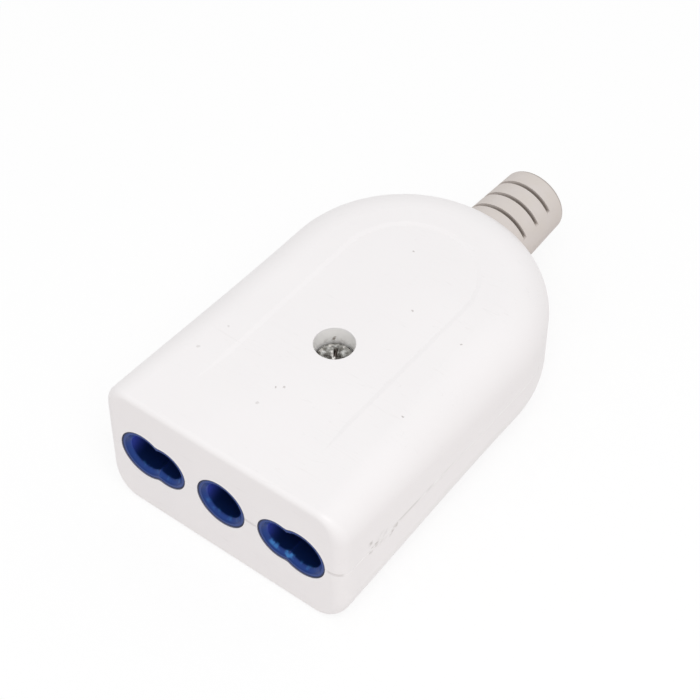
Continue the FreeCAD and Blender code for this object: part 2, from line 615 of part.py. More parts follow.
def cord_clamp():
    """Saddle that two screws draw down on the cord."""
    piece = body("cord_clamp")
    mouth, ear, crown = "sqrt(cord_r^2 - clamp_level^2)", "clamp_level + clamp_ear", "cord_r + clamp_crown"
    bridge, half_span = "cord_r + clamp_crown / 2", "clamp_pitch / 2 + clamp_end"
    pad(piece, outline(sketch(piece, "XZ", f"{CLAMP_Y} - clamp_depth / 2"),
                       [(f"-({half_span})", "clamp_level"), (f"-{mouth}", "clamp_level"),
                        Arc("0", "0", "cord_r"), (mouth, "clamp_level"),
                        (half_span, "clamp_level"), (half_span, ear),
                        (f"{bridge} + clamp_crown / 2", ear), (bridge, crown), (f"-({bridge})", crown),
                        (f"-({bridge} + clamp_crown / 2)", ear), (f"-({half_span})", ear)]), "clamp_depth")
    holes = [(x, CLAMP_Y, "clamp_screw_r + hole_gap") for x in ("-clamp_pitch / 2", "clamp_pitch / 2")]
    pocket(piece, circles(sketch(piece, "XY", "clamp_level"), *holes), "clamp_ear", 1)
    return piece


def cord_sleeve():
    """Tapered sleeve held by its flange, slotted across above and below so that it can bend."""
    piece = body("cord_sleeve")
    turn(piece, "Revolution", outline(sketch(piece, "XY"), [
        ("sleeve_bore_r", FLANGE_FRONT), ("flange_r", FLANGE_FRONT), ("flange_r", FLANGE_REAR),
        ("sleeve_root_r", FLANGE_REAR), ("sleeve_root_r", "body_length"),
        ("sleeve_tip_r", f"{SLEEVE_END} - sleeve_round"),
        Arc("sleeve_tip_r - sleeve_round", f"{SLEEVE_END} - sleeve_round", "sleeve_round"),
        ("sleeve_tip_r - sleeve_round", SLEEVE_END), ("sleeve_bore_r", SLEEVE_END)]))
    slots = sketch(piece, "YZ")
    for i in range(SLOT_COUNT):
        y = f"body_length + slot_first + {i} * slot_pitch"
        for z0, z1 in (("slot_web", "flange_r"), ("-flange_r", "-slot_web")):
            box(slots, f"{y} - slot_width / 2", f"{y} + slot_width / 2", z0, z1)
    pocket(piece, slots, "flange_r * 2", 0)
    return piece


upper_shell()
lower_shell()
socket_insert()
pole_contact("line_contact", -1)
pole_contact("neutral_contact", 1)
earth_contact()
for name, (x, y) in TERMINALS.items():
    wire_clamp(f"{name}_wire_clamp", x, y)
    slotted_screw(f"{name}_terminal_screw", x, y, WASHER_TOP, "terminal_head_r", "terminal_head",
                  "terminal_r", "terminal_length")
cord_clamp()
for name, x in (("left_clamp_screw", "-clamp_pitch / 2"), ("right_clamp_screw", "clamp_pitch / 2")):
    slotted_screw(name, x, CLAMP_Y, "clamp_level + clamp_ear", "clamp_head_r", "clamp_head",
                  "clamp_screw_r", "clamp_screw_length")
cord_sleeve()
case_screw()
case_nut()
doc.recompute()

faults = [item.Label for item in doc.Objects if {"Invalid", "Error"} & set(item.State)]
pieces = [item for item in doc.Objects if item.TypeId == "PartDesign::Body"]
faults += [item.Label for item in pieces if item.Shape.isNull() or not item.Shape.isValid()
           or len(item.Shape.Solids) != 1]
if faults:
    raise RuntimeError("not built: " + ", ".join(faults))
os.makedirs("parts", exist_ok=True)
for item in pieces:
    item.Shape.exportStep(f"parts/{item.Label}.step")
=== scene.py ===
"""Finishes, screw threads, light and camera for an in-line mains socket with a slotted cord sleeve."""
import math

import bmesh
import bpy
from bpy.props import FloatProperty, FloatVectorProperty, PointerProperty
from mathutils import Matrix, Vector


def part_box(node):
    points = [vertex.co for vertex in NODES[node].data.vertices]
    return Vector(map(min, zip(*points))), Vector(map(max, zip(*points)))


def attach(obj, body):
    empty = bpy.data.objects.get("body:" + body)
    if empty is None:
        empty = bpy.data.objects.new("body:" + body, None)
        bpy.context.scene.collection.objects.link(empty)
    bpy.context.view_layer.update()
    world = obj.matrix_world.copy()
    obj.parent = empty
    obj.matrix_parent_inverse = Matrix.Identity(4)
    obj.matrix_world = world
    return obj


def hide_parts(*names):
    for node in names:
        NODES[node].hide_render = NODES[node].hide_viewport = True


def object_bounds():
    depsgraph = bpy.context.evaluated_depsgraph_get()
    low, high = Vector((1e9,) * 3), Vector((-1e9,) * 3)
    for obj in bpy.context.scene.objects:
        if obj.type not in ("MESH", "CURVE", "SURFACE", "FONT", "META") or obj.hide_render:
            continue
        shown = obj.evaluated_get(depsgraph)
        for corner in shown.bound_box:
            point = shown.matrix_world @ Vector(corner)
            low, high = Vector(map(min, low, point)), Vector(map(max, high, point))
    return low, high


bl_info = {
    "name": "In-line mains socket",
    "version": (1, 0, 0),
    "blender": (4, 5, 0),
    "location": "3D View > Sidebar > Socket",
    "description": "Finishes the pieces of a two-shell in-line mains socket and sets its stage",
    "category": "Object",
}

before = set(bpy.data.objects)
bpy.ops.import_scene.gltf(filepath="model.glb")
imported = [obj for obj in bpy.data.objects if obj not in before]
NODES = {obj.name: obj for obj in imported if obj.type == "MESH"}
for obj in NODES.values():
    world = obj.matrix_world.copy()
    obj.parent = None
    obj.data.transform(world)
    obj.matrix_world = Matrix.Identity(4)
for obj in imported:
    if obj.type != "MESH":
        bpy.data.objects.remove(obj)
CAD_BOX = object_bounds()

MM = 0.001
SHELLS = ("upper_shell", "lower_shell")
CONTACTS = ("line_contact", "neutral_contact", "earth_contact")
WIRE_CLAMPS = ("line_wire_clamp", "neutral_wire_clamp", "earth_wire_clamp")
MACHINE_SCREWS = ("case_screw", "line_terminal_screw", "neutral_terminal_screw", "earth_terminal_screw")
TAPPING_SCREWS = ("left_clamp_screw", "right_clamp_screw")

# Places on the object that finishes refer to, in millimetres.
FRONT = CAD_BOX[0].y / MM
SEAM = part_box("upper_shell")[0].z / MM
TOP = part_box("upper_shell")[1].z / MM
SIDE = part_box("upper_shell")[1].x / MM
SLEEVE_LOW, SLEEVE_HIGH = (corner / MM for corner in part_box("cord_sleeve"))
SLEEVE_AXIS = (SLEEVE_LOW + SLEEVE_HIGH) / 2
SCREW_LOW, SCREW_HIGH = (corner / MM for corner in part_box("case_screw"))
SCREW_AXIS = (SCREW_LOW + SCREW_HIGH) / 2
# The sleeve narrows to its tip: radius there, and how much it widens for each millimetre before it.
SLEEVE_TIP_R = 5.12
SLEEVE_TAPER = 0.0387
# Round parts of the blue rims, with the waists of the merged ways: from the middle, and outer radius.
RIM_ROUNDS = ((0.0, 3.87), (9.5, 3.37), (10.8, 3.3), (13.0, 3.87))

# Masks: where each is nothing and where it is full, in millimetres.
# From the middle of the object, across.
SIDE_FACE = (SIDE - 1, SIDE - 0.6)
SIDE_JOINT = (SIDE - 3, SIDE - 1)
CORNER_JOINT = (SIDE - 2.8, SIDE - 2)
MIDDLE_JOINT_START = (3.8, 4.2)
MIDDLE_JOINT_END = (6.4, 5.2)
SLOT_RIGHT = (-5, 2)
# Behind the front face.
FRONT_FACE = (1.0, 0.6)
RIM_DEPTH = (1.4, 0.9)
THROAT_DEPTH = (0.45, 0.95)
GLINT_DEPTH = (1.1, 0.6)
SIDE_DIRT_START = (11.2, 12.4)
SIDE_DIRT_END = (29, 14)
# Inside the outer edge of a blue rim.
RIM_GAP = (-0.11, -0.085)
RIM_OUTLINE = (0.24, 0.1)
GLINT_INSIDE = (0.6, 0.8)
SHADE_LINE_INSIDE = 0.55
SHADE_LINE_WIDTH = (0.16, 0.05)
# Above the joint of the shells, or to either side of it.
JOINT_WIDTH = (0.34, 0.14)
THROAT_HEIGHT = (-2.2, 0.5)
GLINT_HEIGHT = (-0.9, -1.9)
# From the axis of the case screw, below the top, and along the object for the far side of the well.
WELL_RADIUS = (3.2, 3.0)
WELL_MOUTH = (0.2, 0.6)
WELL_END = (6, 5)
WELL_FAR_SIDE = (SCREW_AXIS.y, SCREW_AXIS.y + 1)
WELL_LOW_DEPTH = (1.8, 2.7)
DRIVE_RADIUS = (2.9, 2.6)
# Below the skin of the sleeve, from its tip and from its axis.
SLOT_DEPTH = (0.08, 0.5)
SLOT_FROM_TIP = (0.6, 0.8)
TIP_LINE = (0.56, 0.4)
TIP_EDGE = (4.75, 4.95)
# Heights.
TOP_FACE = (TOP - 1, TOP - 0.6)
DRIVE_HEIGHT = (SCREW_HIGH.z - 0.2, SCREW_HIGH.z - 0.8)

# Specks on the top: across, behind the front face, radius and strength.
TOP_SPECKS = (
    (-1.4, 9.6, 0.28, 0.22),
    (-1.2, 13.2, 0.24, 0.4),
    (-0.4, 13.8, 0.2, 0.38),
    (14.7, 19.0, 0.22, 0.5),
    (13.4, 33.6, 0.2, 0.45),
    (4.6, 34.7, 0.24, 0.4),
    (-1.9, 43.8, 0.2, 0.4),
    (-13.7, 12.4, 0.25, 0.2),
    (-12.8, 17.6, 0.2, 0.2),
)
# Marks on the right side: behind the front face, height, radius and strength.
SIDE_MARKS = (
    (5.8, 12.0, 0.6, 0.38),
    (6.1, 10.5, 0.75, 0.4),
    (7.0, 10.7, 0.6, 0.36),
    (8.3, 10.9, 1.6, 0.14),
    (10.45, 10.0, 0.42, 0.36),
    (10.1, 9.5, 0.4, 0.34),
    (11.1, 10.5, 0.7, 0.38),
)
# Marks on the far wall of the screw well: across, below the top, radius and strength.
WELL_MARKS = (
    (-1.7, 2.0, 0.22, 0.7),
    (-1.75, 2.35, 0.26, 0.8),
)
# Painted glints low in the right way: across, above the joint, radius and strength.
GLINT_MARKS = (
    (7.8, -2.2, 0.6, 0.8),
    (8.6, -2.4, 0.5, 0.7),
    (10.8, -2.6, 0.8, 0.9),
    (12.3, -2.1, 0.4, 0.7),
)
# Painted glints and dark patches on the case screw: across and along from its axis, radius and strength.
HEAD_GLINTS = (
    (-1.97, -0.39, 0.4, 0.7),
    (-1.48, 1.01, 0.35, 0.8),
    (0.15, 1.95, 0.3, 0.8),
    (-0.05, -0.3, 0.35, 0.9),
    (-0.45, 0.25, 0.4, 0.9),
)
HEAD_DARK_PATCHES = (
    (-1.02, 1.11, 0.4, 0.7),
    (-0.05, 1.09, 0.4, 0.5),
    (-0.87, -0.77, 0.4, 0.7),
    (-2.45, -0.89, 0.3, 0.6),
)

# Colours of small areas: the screw well, lighter as painted light, the painted shade in the gap round the
# rims, the painted light on the upper walls deep in the ways, the painted glints low on the rims, the
# contacts where they are tarnished, the painted glints on the screw head, and its dark patches and the
# painted shade in its drive.
WELL_PAINTED_LIGHT = (0.98, 0.965, 0.95)
GAP_SHADE = (0.015, 0.03, 0.13)
UPPER_THROAT_LIGHT = (0.06, 0.095, 0.55)
GLINT_BLUE = (0.05, 0.22, 0.55)
TARNISHED = (0.42, 0.26, 0.10)
GLINT_WHITE = (0.93, 0.91, 0.88)
DARK_PATCH_AND_SHADE = (0.06, 0.05, 0.045)
WHITE = (1, 1, 1)

# Inputs of the threaded shank, how finely it is divided, and the turns over which its tip narrows.
SHANK_INPUTS = {
    "Radius": "NodeSocketFloat",
    "Length": "NodeSocketFloat",
    "Pitch": "NodeSocketFloat",
    "Depth": "NodeSocketFloat",
    "Head": "NodeSocketVector",
    "Material": "NodeSocketMaterial",
}
SHANK_SIDES = 40
RINGS_TO_A_TURN = 8
TIP_TURNS = 2
# Points of a CAD screw this close are one, points this near a level lie on it, and points within this many
# radii of its axis belong to its shank.
SAME_POINT = 0.0001 * MM
SAME_LEVEL = 0.01 * MM
SHANK_REACH = 1.01
SHARP_EDGE = math.radians(35)

# Half the side of the floor and the nearest that the camera shows, in metres, and its sensor in millimetres.
FLOOR_HALF = 3.0
NEAREST = 0.01
SENSOR = 36


class SocketFinishes(bpy.types.PropertyGroup):
    """Colours of the pieces."""
    housing: FloatVectorProperty(
        name="Housing", description="Warm white of the two shells",
        subtype="COLOR", min=0, max=1, default=(0.908, 0.884, 0.887))
    insert: FloatVectorProperty(
        name="Insert", description="Deep blue of the moulding with the pin ways",
        subtype="COLOR", min=0, max=1, default=(0.012, 0.052, 0.26))
    sleeve: FloatVectorProperty(
        name="Sleeve", description="Light warm grey of the cord sleeve",
        subtype="COLOR", min=0, max=1, default=(0.68, 0.632, 0.612))
    clamp: FloatVectorProperty(
        name="Cord clamp", description="White of the cord clamp",
        subtype="COLOR", min=0, max=1, default=(0.80, 0.78, 0.75))
    brass: FloatVectorProperty(
        name="Brass", description="Sheet brass of the contacts",
        subtype="COLOR", min=0, max=1, default=(0.75, 0.56, 0.25))
    steel: FloatVectorProperty(
        name="Steel", description="Plated steel of the screws, nut and wire clamps",
        subtype="COLOR", min=0, max=1, default=(0.60, 0.60, 0.58))
    # Also the colour of the painted shade in the sleeve's slots and along its tip.
    dirt_and_shade: FloatVectorProperty(
        name="Grime", description="Dirt in the joint, the well and the slots",
        subtype="COLOR", min=0, max=1, default=(0.20, 0.16, 0.13))


class SocketThreads(bpy.types.PropertyGroup):
    """Sizes of the screw threads."""
    machine_pitch: FloatProperty(
        name="Machine pitch", description="Pitch of the 3 mm machine screws",
        subtype="DISTANCE", unit="LENGTH", default=0.5 * MM)
    tapping_pitch: FloatProperty(
        name="Tapping pitch", description="Pitch of the screws that cut into plastic",
        subtype="DISTANCE", unit="LENGTH", default=1.1 * MM)
    depth_share: FloatProperty(
        name="Depth share", description="Thread depth as a share of its pitch",
        subtype="FACTOR", min=0, max=1, default=0.42)


class SocketStage(bpy.types.PropertyGroup):
    """Floor, light and camera."""
    dome: FloatProperty(name="Dome", description="Strength of the even light all round", default=0.75)
    softbox: FloatProperty(name="Softbox", description="Power of the lamp", unit="POWER", default=1.1)
    softbox_size: FloatProperty(
        name="Softbox size", description="Side of the square lamp",
        subtype="DISTANCE", unit="LENGTH", default=0.35)
    softbox_away: FloatProperty(
        name="Softbox distance", description="Lamp from the socket",
        subtype="DISTANCE", unit="LENGTH", default=0.6)
    softbox_azimuth: FloatProperty(
        name="Softbox azimuth", description="Lamp to the right of straight ahead",
        subtype="ANGLE", unit="ROTATION", default=math.radians(48))
    softbox_elevation: FloatProperty(
        name="Softbox elevation", description="Lamp above the horizon",
        subtype="ANGLE", unit="ROTATION", default=math.radians(60))
    floor: FloatVectorProperty(
        name="Floor", description="Pale floor under the socket",
        subtype="COLOR", min=0, max=1, default=(0.8, 0.765, 0.755))
    shadow: FloatProperty(
        name="Shadow", description="How much of the shadow the floor shows",
        subtype="FACTOR", min=0, max=1, default=0.2)
    azimuth: FloatProperty(
        name="Azimuth", description="Camera to the right of straight ahead",
        subtype="ANGLE", unit="ROTATION", default=math.radians(36.468))
    elevation: FloatProperty(
        name="Elevation", description="Camera above the horizon",
        subtype="ANGLE", unit="ROTATION", default=math.radians(47.693))
    roll: FloatProperty(
        name="Roll", description="Camera turned about its view",
        subtype="ANGLE", unit="ROTATION", default=math.radians(0.887))
    distance: FloatProperty(
        name="Distance", description="Camera from the point that it looks at",
        subtype="DISTANCE", unit="LENGTH", default=273.62 * MM)
    target: FloatVectorProperty(
        name="Target", description="Point that the camera looks at",
        subtype="TRANSLATION", unit="LENGTH", default=(0, -2.85 * MM, 11.0 * MM))
    lens: FloatProperty(
        name="Lens", description="Focal length for the camera's sensor, in millimetres", default=102.857)
    shift: FloatVectorProperty(
        name="Shift", description="Frame moved across the view, in frame widths",
        size=2, default=(-0.03744, 0.00162))


class Field:
    """A value that varies over a piece. Sums, products and the like of fields add Math nodes."""

    def __init__(self, graph, socket):
        self.graph = graph
        self.socket = socket

    def math(self, operation, *values):
        """A Math node on values, any of which can be fields."""
        return self.graph.node("ShaderNodeMath", {"operation": operation}, dict(enumerate(values)))

    def __add__(self, other):
        return self.math("ADD", self, other)

    def __radd__(self, other):
        return self.math("ADD", other, self)

    def __sub__(self, other):
        return self.math("SUBTRACT", self, other)

    def __rsub__(self, other):
        return self.math("SUBTRACT", other, self)

    def __mul__(self, other):
        return self.math("MULTIPLY", self, other)

    def __rmul__(self, other):
        return self.math("MULTIPLY", other, self)

    def __truediv__(self, other):
        return self.math("DIVIDE", self, other)

    def __rtruediv__(self, other):
        return self.math("DIVIDE", other, self)

    def __abs__(self):
        return self.math("ABSOLUTE", self)

    def __or__(self, other):
        """The larger of the two."""
        return self.math("MAXIMUM", self, other)

    def __ror__(self, other):
        return self.math("MAXIMUM", other, self)

    def rise(self, nothing, full):
        """0 up to one value and 1 from the other on, smooth between, whichever of them is the higher."""
        rising = self.graph.node("ShaderNodeMapRange", {"interpolation_type": "SMOOTHSTEP"}, {
            "Value": self, "From Min": min(nothing, full), "From Max": max(nothing, full)})
        return rising if nothing < full else 1 - rising


class Graph:
    """A node tree under construction."""

    def __init__(self, tree):
        self.tree = tree

    def node(self, kind, settings, sockets, output=0):
        """A node of a kind with its settings and the values or links of its sockets."""
        made = self.tree.nodes.new(kind)
        for name, value in settings.items():
            setattr(made, name, value)
        for name, value in sockets.items():
            self.feed(made.inputs[name], value)
        return Field(self, made.outputs[output])

    def feed(self, socket, value):
        """Links a field to a socket, or sets its value."""
        if isinstance(value, Field):
            self.tree.links.new(value.socket, socket)
        elif socket.type == "RGBA":
            socket.default_value = (*value, 1)
        else:
            socket.default_value = value

    def axes(self, place):
        """The three parts of a place."""
        return (self.node("ShaderNodeSeparateXYZ", {}, {0: place}, axis) for axis in "XYZ")

    def seen_directly(self):
        """1 for the camera and for mirror and glass rays."""
        camera, glossy, transmission = (
            self.node("ShaderNodeLightPath", {}, {}, f"Is {ray} Ray")
            for ray in ("Camera", "Glossy", "Transmission"))
        return camera | glossy | transmission


class Finish(Graph):
    """A material under construction. Its places are Object coordinates in millimetres."""

    def __init__(self, name):
        self.material = bpy.data.materials.new(name)
        self.material.use_nodes = True
        super().__init__(self.material.node_tree)
        self.shader = self.tree.nodes["Principled BSDF"]
        metres = self.node("ShaderNodeTexCoord", {}, {}, "Object")
        self.place = self.vector("SCALE", {0: metres, "Scale": 1 / MM})
        self.x, self.y, self.z = self.axes(self.place)

    def vector(self, operation, sockets, output="Vector"):
        """A Vector Math node."""
        return self.node("ShaderNodeVectorMath", {"operation": operation}, sockets, output)

    def noise(self, scale, detail=2, stretch=(1, 1, 1), turn=(0, 0, 0), seed=0):
        """Noise between 0 and 1 with so many waves to the millimetre."""
        place = self.node("ShaderNodeMapping", {}, {
            "Vector": self.place, "Location": (seed, seed, seed), "Rotation": turn, "Scale": stretch})
        return self.node("ShaderNodeTexNoise", {}, {"Vector": place, "Scale": scale, "Detail": detail}, "Fac")

    def scratches(self, turn, seed, width=0.006, length=0.05, across=0.8):
        """Sparse hairlines, all in about one direction."""
        lines = abs(self.noise(1, 1, (length, across, across), turn, seed) - 0.5).rise(width, 0)
        return lines * self.noise(0.15, 1, seed=seed + 5).rise(0.5, 0.62)

    def ragged(self, scale, amount):
        """Places pushed about, for marks with uneven outlines."""
        colour = self.node("ShaderNodeTexNoise", {}, {
            "Vector": self.place, "Scale": scale, "Detail": 2}, "Color")
        push = self.vector("MULTIPLY_ADD", {0: colour, 1: (amount,) * 3, 2: (-amount / 2,) * 3})
        return self.vector("ADD", {0: self.place, 1: push})

    def from_axis(self, point, along, place=None):
        """Distance from a line through a point along X, Y or Z."""
        flat = Vector(1 if name != along else 0 for name in "XYZ")
        offset = self.vector("SUBTRACT", {0: place or self.place, 1: point})
        across = self.vector("MULTIPLY", {0: offset, 1: flat})
        return self.vector("LENGTH", {0: across}, "Value")

    def spots(self, marks, along, place):
        """Round marks on faces that look along an axis, each a point, a radius and a strength."""
        strongest = 0
        for point, radius, strength in marks:
            away = self.from_axis(point, along, place)
            strongest = away.rise(radius, radius * 0.45) * strength | strongest
        return strongest

    def inside_rims(self):
        """How far inside the outer edge of the nearest blue rim a place is, in millimetres."""
        inside = -1
        for across, radius in RIM_ROUNDS:
            for x in {across, -across}:
                inside = radius - self.from_axis((x, 0, SEAM), "Y") | inside
        return inside

    def blend(self, amount, under, over):
        """One colour over another."""
        return self.node("ShaderNodeMix", {"data_type": "RGBA"}, {"Factor": amount, 6: under, 7: over}, 2)

    def bump(self, height, depth, under=None):
        """A surface normal raised by a height field of so many millimetres."""
        sockets = {"Height": height, "Strength": 1, "Distance": depth * MM}
        if under:
            sockets["Normal"] = under
        return self.node("ShaderNodeBump", {}, sockets, "Normal")

    def surface(self, **sockets):
        """Feeds the shader and returns the finished material."""
        for name, value in sockets.items():
            self.feed(self.shader.inputs[name.replace("_", " ").title().replace("Ior", "IOR")], value)
        return self.material


def shaded(colour, *shares):
    """A colour cut to a share of itself, one for all its channels or one for each."""
    return [channel * share for channel, share in zip(colour, shares * 3)]


def joint_dirt(finish):
    """Dirt in the joint of the shells: broken along the right side, and in places on the front face."""
    behind = finish.y - FRONT
    along_side = (finish.x.rise(*SIDE_JOINT) * behind.rise(*SIDE_DIRT_START) * behind.rise(*SIDE_DIRT_END)
                  * finish.noise(0.5, 2, seed=3).rise(0.3, 0.55))
    near_way = finish.x.rise(*MIDDLE_JOINT_START) * finish.x.rise(*MIDDLE_JOINT_END)
    along_front = (finish.x.rise(*CORNER_JOINT) | near_way) * behind.rise(*FRONT_FACE)
    return abs(finish.z - SEAM).rise(*JOINT_WIDTH) * (0.02 + 0.21 * (along_side | along_front))


def handling_marks(finish, ragged):
    """Specks on the top and smudges on the right side."""
    top = finish.spots([((x, FRONT + y, TOP), *mark) for x, y, *mark in TOP_SPECKS], "Z", ragged)
    side = finish.spots([((SIDE, FRONT + y, z), *mark) for y, z, *mark in SIDE_MARKS], "X", ragged)
    smudge = finish.noise(1.3, 3, seed=12).rise(0.35, 0.6) * finish.x.rise(*SIDE_FACE)
    return top * finish.z.rise(*TOP_FACE) | side * smudge


def housing_finish(colours):
    """Smooth white moulding with faint mottling, hairlines, specks and dirt in its joints,
    painted shade round the rims, painted light in the screw well and darkening low on the well's far wall.
    """
    finish = Finish("housing_white")
    ragged = finish.ragged(2.2, 0.6)
    below_top = TOP - finish.z
    well = finish.from_axis(SCREW_AXIS, "Z").rise(*WELL_RADIUS)
    well = well * below_top.rise(*WELL_MOUTH) * below_top.rise(*WELL_END)
    well_marks = finish.spots([((x, 0, TOP - z), *mark) for x, z, *mark in WELL_MARKS], "Y", ragged)
    # Mottled darkening towards the bottom of the well's far wall; the marks above it are specks.
    well_low_dark = below_top.rise(*WELL_LOW_DEPTH) * finish.noise(1.6, 3, seed=7).rise(0.4, 0.62) * 0.3
    well_marks_and_dark = (well_marks | well_low_dark) * well * finish.y.rise(*WELL_FAR_SIDE)
    stain = joint_dirt(finish) | handling_marks(finish, ragged) | well_marks_and_dark
    # Painted shade: a dark navy ring on the housing at the edge of each opening, round the blue rims.
    rim_gap_shade = finish.inside_rims().rise(*RIM_GAP) * (finish.y - FRONT).rise(*RIM_DEPTH) * 0.7

    mottle = finish.noise(0.06, 3, seed=1).rise(0.3, 0.7)
    clean = finish.blend(mottle, shaded(colours.housing, 0.985), colours.housing)
    # Painted light: the screw well has a lighter white than the rest of the housing.
    plain = finish.blend(well, clean, WELL_PAINTED_LIGHT)
    hairlines = finish.scratches((0, 0, 0.5), 11) | finish.scratches((0, 0, -0.9), 27)
    scuffed = finish.blend(hairlines * 0.05, plain, colours.dirt_and_shade)
    grain = finish.noise(5, 2, seed=2)
    peel = finish.noise(0.45, 1, seed=4)
    return finish.surface(
        base_color=finish.blend(rim_gap_shade, finish.blend(stain, scuffed, colours.dirt_and_shade), GAP_SHADE),
        roughness=0.34 + 0.08 * finish.noise(0.3, 2, seed=6) + 0.2 * hairlines + 0.2 * stain,
        normal=finish.bump(grain, 0.0015, finish.bump(peel, 0.006)),
        ior=1.5)


def insert_finish(colours):
    """Glossy deep blue moulding with painted shade and light in its ways, painted shade round its rims,
    and painted glints low at the mouths of the ways.
    """
    finish = Finish("insert_blue")
    behind = finish.y - FRONT
    above = finish.z - SEAM
    inside = finish.inside_rims()
    mottle = finish.noise(0.5, 2, seed=9)
    deep = shaded(colours.insert, 0.75)
    mouth = finish.blend(mottle, deep, colours.insert)
    # Painted shade and light in the ways: darker with depth and on the lower walls, a lighter blue on the
    # upper walls.
    darkened = finish.blend(above.rise(*THROAT_HEIGHT), shaded(deep, 0.3), UPPER_THROAT_LIGHT)
    throat = finish.blend(behind.rise(*THROAT_DEPTH), mouth, darkened)
    # Painted shade: a dark ring at the outer edge of each rim, and a faint dark line across the rim for the
    # shading of a rounded edge.
    outline = inside.rise(*RIM_OUTLINE) * behind.rise(*RIM_DEPTH)
    rounding_shade_line = abs(inside - SHADE_LINE_INSIDE).rise(*SHADE_LINE_WIDTH)
    edged = finish.blend(outline * 0.8 | rounding_shade_line * 0.2, throat, shaded(deep, 0.25))
    # Painted glints: pale blue streaks and patches low at the mouths of the ways.
    blotchy = finish.noise(1.1, 3, (1, 0.5, 1), seed=4).rise(0.5, 0.72)
    patches = finish.spots(
        [((x, 0, SEAM + z), *mark) for x, z, *mark in GLINT_MARKS], "Y", finish.ragged(2, 1))
    low_side = above.rise(*GLINT_HEIGHT) * behind.rise(*GLINT_DEPTH) * inside.rise(*GLINT_INSIDE)
    painted_glints = (blotchy * 0.4 | patches) * low_side
    return finish.surface(
        base_color=finish.blend(painted_glints, edged, GLINT_BLUE),
        roughness=0.3 + 0.15 * painted_glints + 0.08 * mottle,
        normal=finish.bump(finish.noise(3.5, 2, seed=5), 0.003),
        specular_ior_level=0.2)


def sleeve_finish(colours):
    """Matt soft grey moulding with painted shade in its slots and along the edge of its tip."""
    finish = Finish("sleeve_grey")
    from_middle = finish.from_axis(SLEEVE_AXIS, "Y")
    from_tip = SLEEVE_HIGH.y - finish.y
    skin = SLEEVE_TIP_R + from_tip * SLEEVE_TAPER
    # Painted shade in the slots, growing with depth and fading towards the left; painted shade along the
    # rounded edge of the tip.
    slot_shade = (skin - from_middle).rise(*SLOT_DEPTH) * finish.x.rise(*SLOT_RIGHT) * from_tip.rise(*SLOT_FROM_TIP)
    tip = from_tip.rise(*TIP_LINE) * from_middle.rise(*TIP_EDGE)
    mottle = finish.noise(0.4, 3, seed=2)
    plain = finish.blend(mottle, shaded(colours.sleeve, 0.95, 0.93, 0.88), colours.sleeve)
    return finish.surface(
        base_color=finish.blend(slot_shade * 0.65 | tip * 0.5, plain, colours.dirt_and_shade),
        roughness=0.58 + 0.12 * mottle,
        normal=finish.bump(finish.noise(4, 3, seed=7), 0.006),
        ior=1.45)


def clamp_finish(colours):
    """Plain white moulding of the cord clamp."""
    finish = Finish("clamp_white")
    mottle = finish.noise(0.3, 2, seed=1)
    return finish.surface(
        base_color=finish.blend(mottle, shaded(colours.clamp, 0.95), colours.clamp),
        roughness=0.45 + 0.1 * mottle,
        normal=finish.bump(finish.noise(3, 2, seed=3), 0.004))


def brass_finish(colours):
    """Rolled brass sheet with drawing lines and a little tarnish."""
    finish = Finish("contact_brass")
    lines = finish.noise(9, 2, (1, 0.03, 1), seed=2)
    tarnish = finish.noise(0.5, 3, seed=6).rise(0.45, 0.75)
    return finish.surface(
        base_color=finish.blend(tarnish * 0.6, colours.brass, TARNISHED),
        metallic=1.0,
        roughness=0.2 + 0.15 * lines + 0.25 * tarnish,
        normal=finish.bump(lines, 0.002))


def steel_finish(colours):
    """Plated steel with turning marks and stains; on the case screw, dark patches, painted glints
    and painted shade in its drive.
    """
    finish = Finish("screw_steel")
    turning = {"width": 0.03, "length": 0.3, "across": 3}
    marks = finish.scratches((0, 0, 0.3), 3, **turning) | finish.scratches((0, 0, 1.7), 9, **turning)
    dull = finish.noise(1.3, 3, seed=5).rise(0.36, 0.62)
    # Painted shade: the case screw head is darkened below its top, in its cross recess.
    drive = finish.from_axis(SCREW_AXIS, "Z").rise(*DRIVE_RADIUS) * finish.z.rise(*DRIVE_HEIGHT)
    blotchy = finish.ragged(2.5, 0.7)
    # Painted glints on the case screw, and dark patches on it.
    glint_spots, darkened = (
        finish.spots([(SCREW_AXIS + Vector((x, y, 0)), *mark) for x, y, *mark in table], "Z", blotchy)
        for table in (HEAD_GLINTS, HEAD_DARK_PATCHES))
    stained = finish.blend(dull * 0.85, colours.steel, shaded(colours.steel, 0.2, 0.185, 0.165))
    patched_and_shaded = finish.blend(darkened | drive, stained, DARK_PATCH_AND_SHADE)
    return finish.surface(
        base_color=finish.blend(glint_spots, patched_and_shaded, GLINT_WHITE),
        metallic=1.0,
        roughness=0.26 + 0.2 * dull + 0.2 * marks,
        normal=finish.bump(marks, 0.01, finish.bump(finish.noise(2.5, 2, seed=1), 0.02)))


def floor_finish(stage):
    """Matt pale floor, which looks white apart from a share of the shadow."""
    finish = Finish("floor_pale")
    seen = finish.seen_directly()
    matt = finish.surface(
        base_color=finish.blend(seen, stage.floor, WHITE), roughness=0.9, specular_ior_level=0)
    lit = Field(finish, finish.shader.outputs[0])
    white = finish.node("ShaderNodeEmission", {}, {"Color": WHITE})
    shown = finish.node("ShaderNodeMixShader", {}, {0: seen * (1 - stage.shadow), 1: lit, 2: white})
    finish.feed(finish.tree.nodes["Material Output"].inputs["Surface"], shown)
    return matt


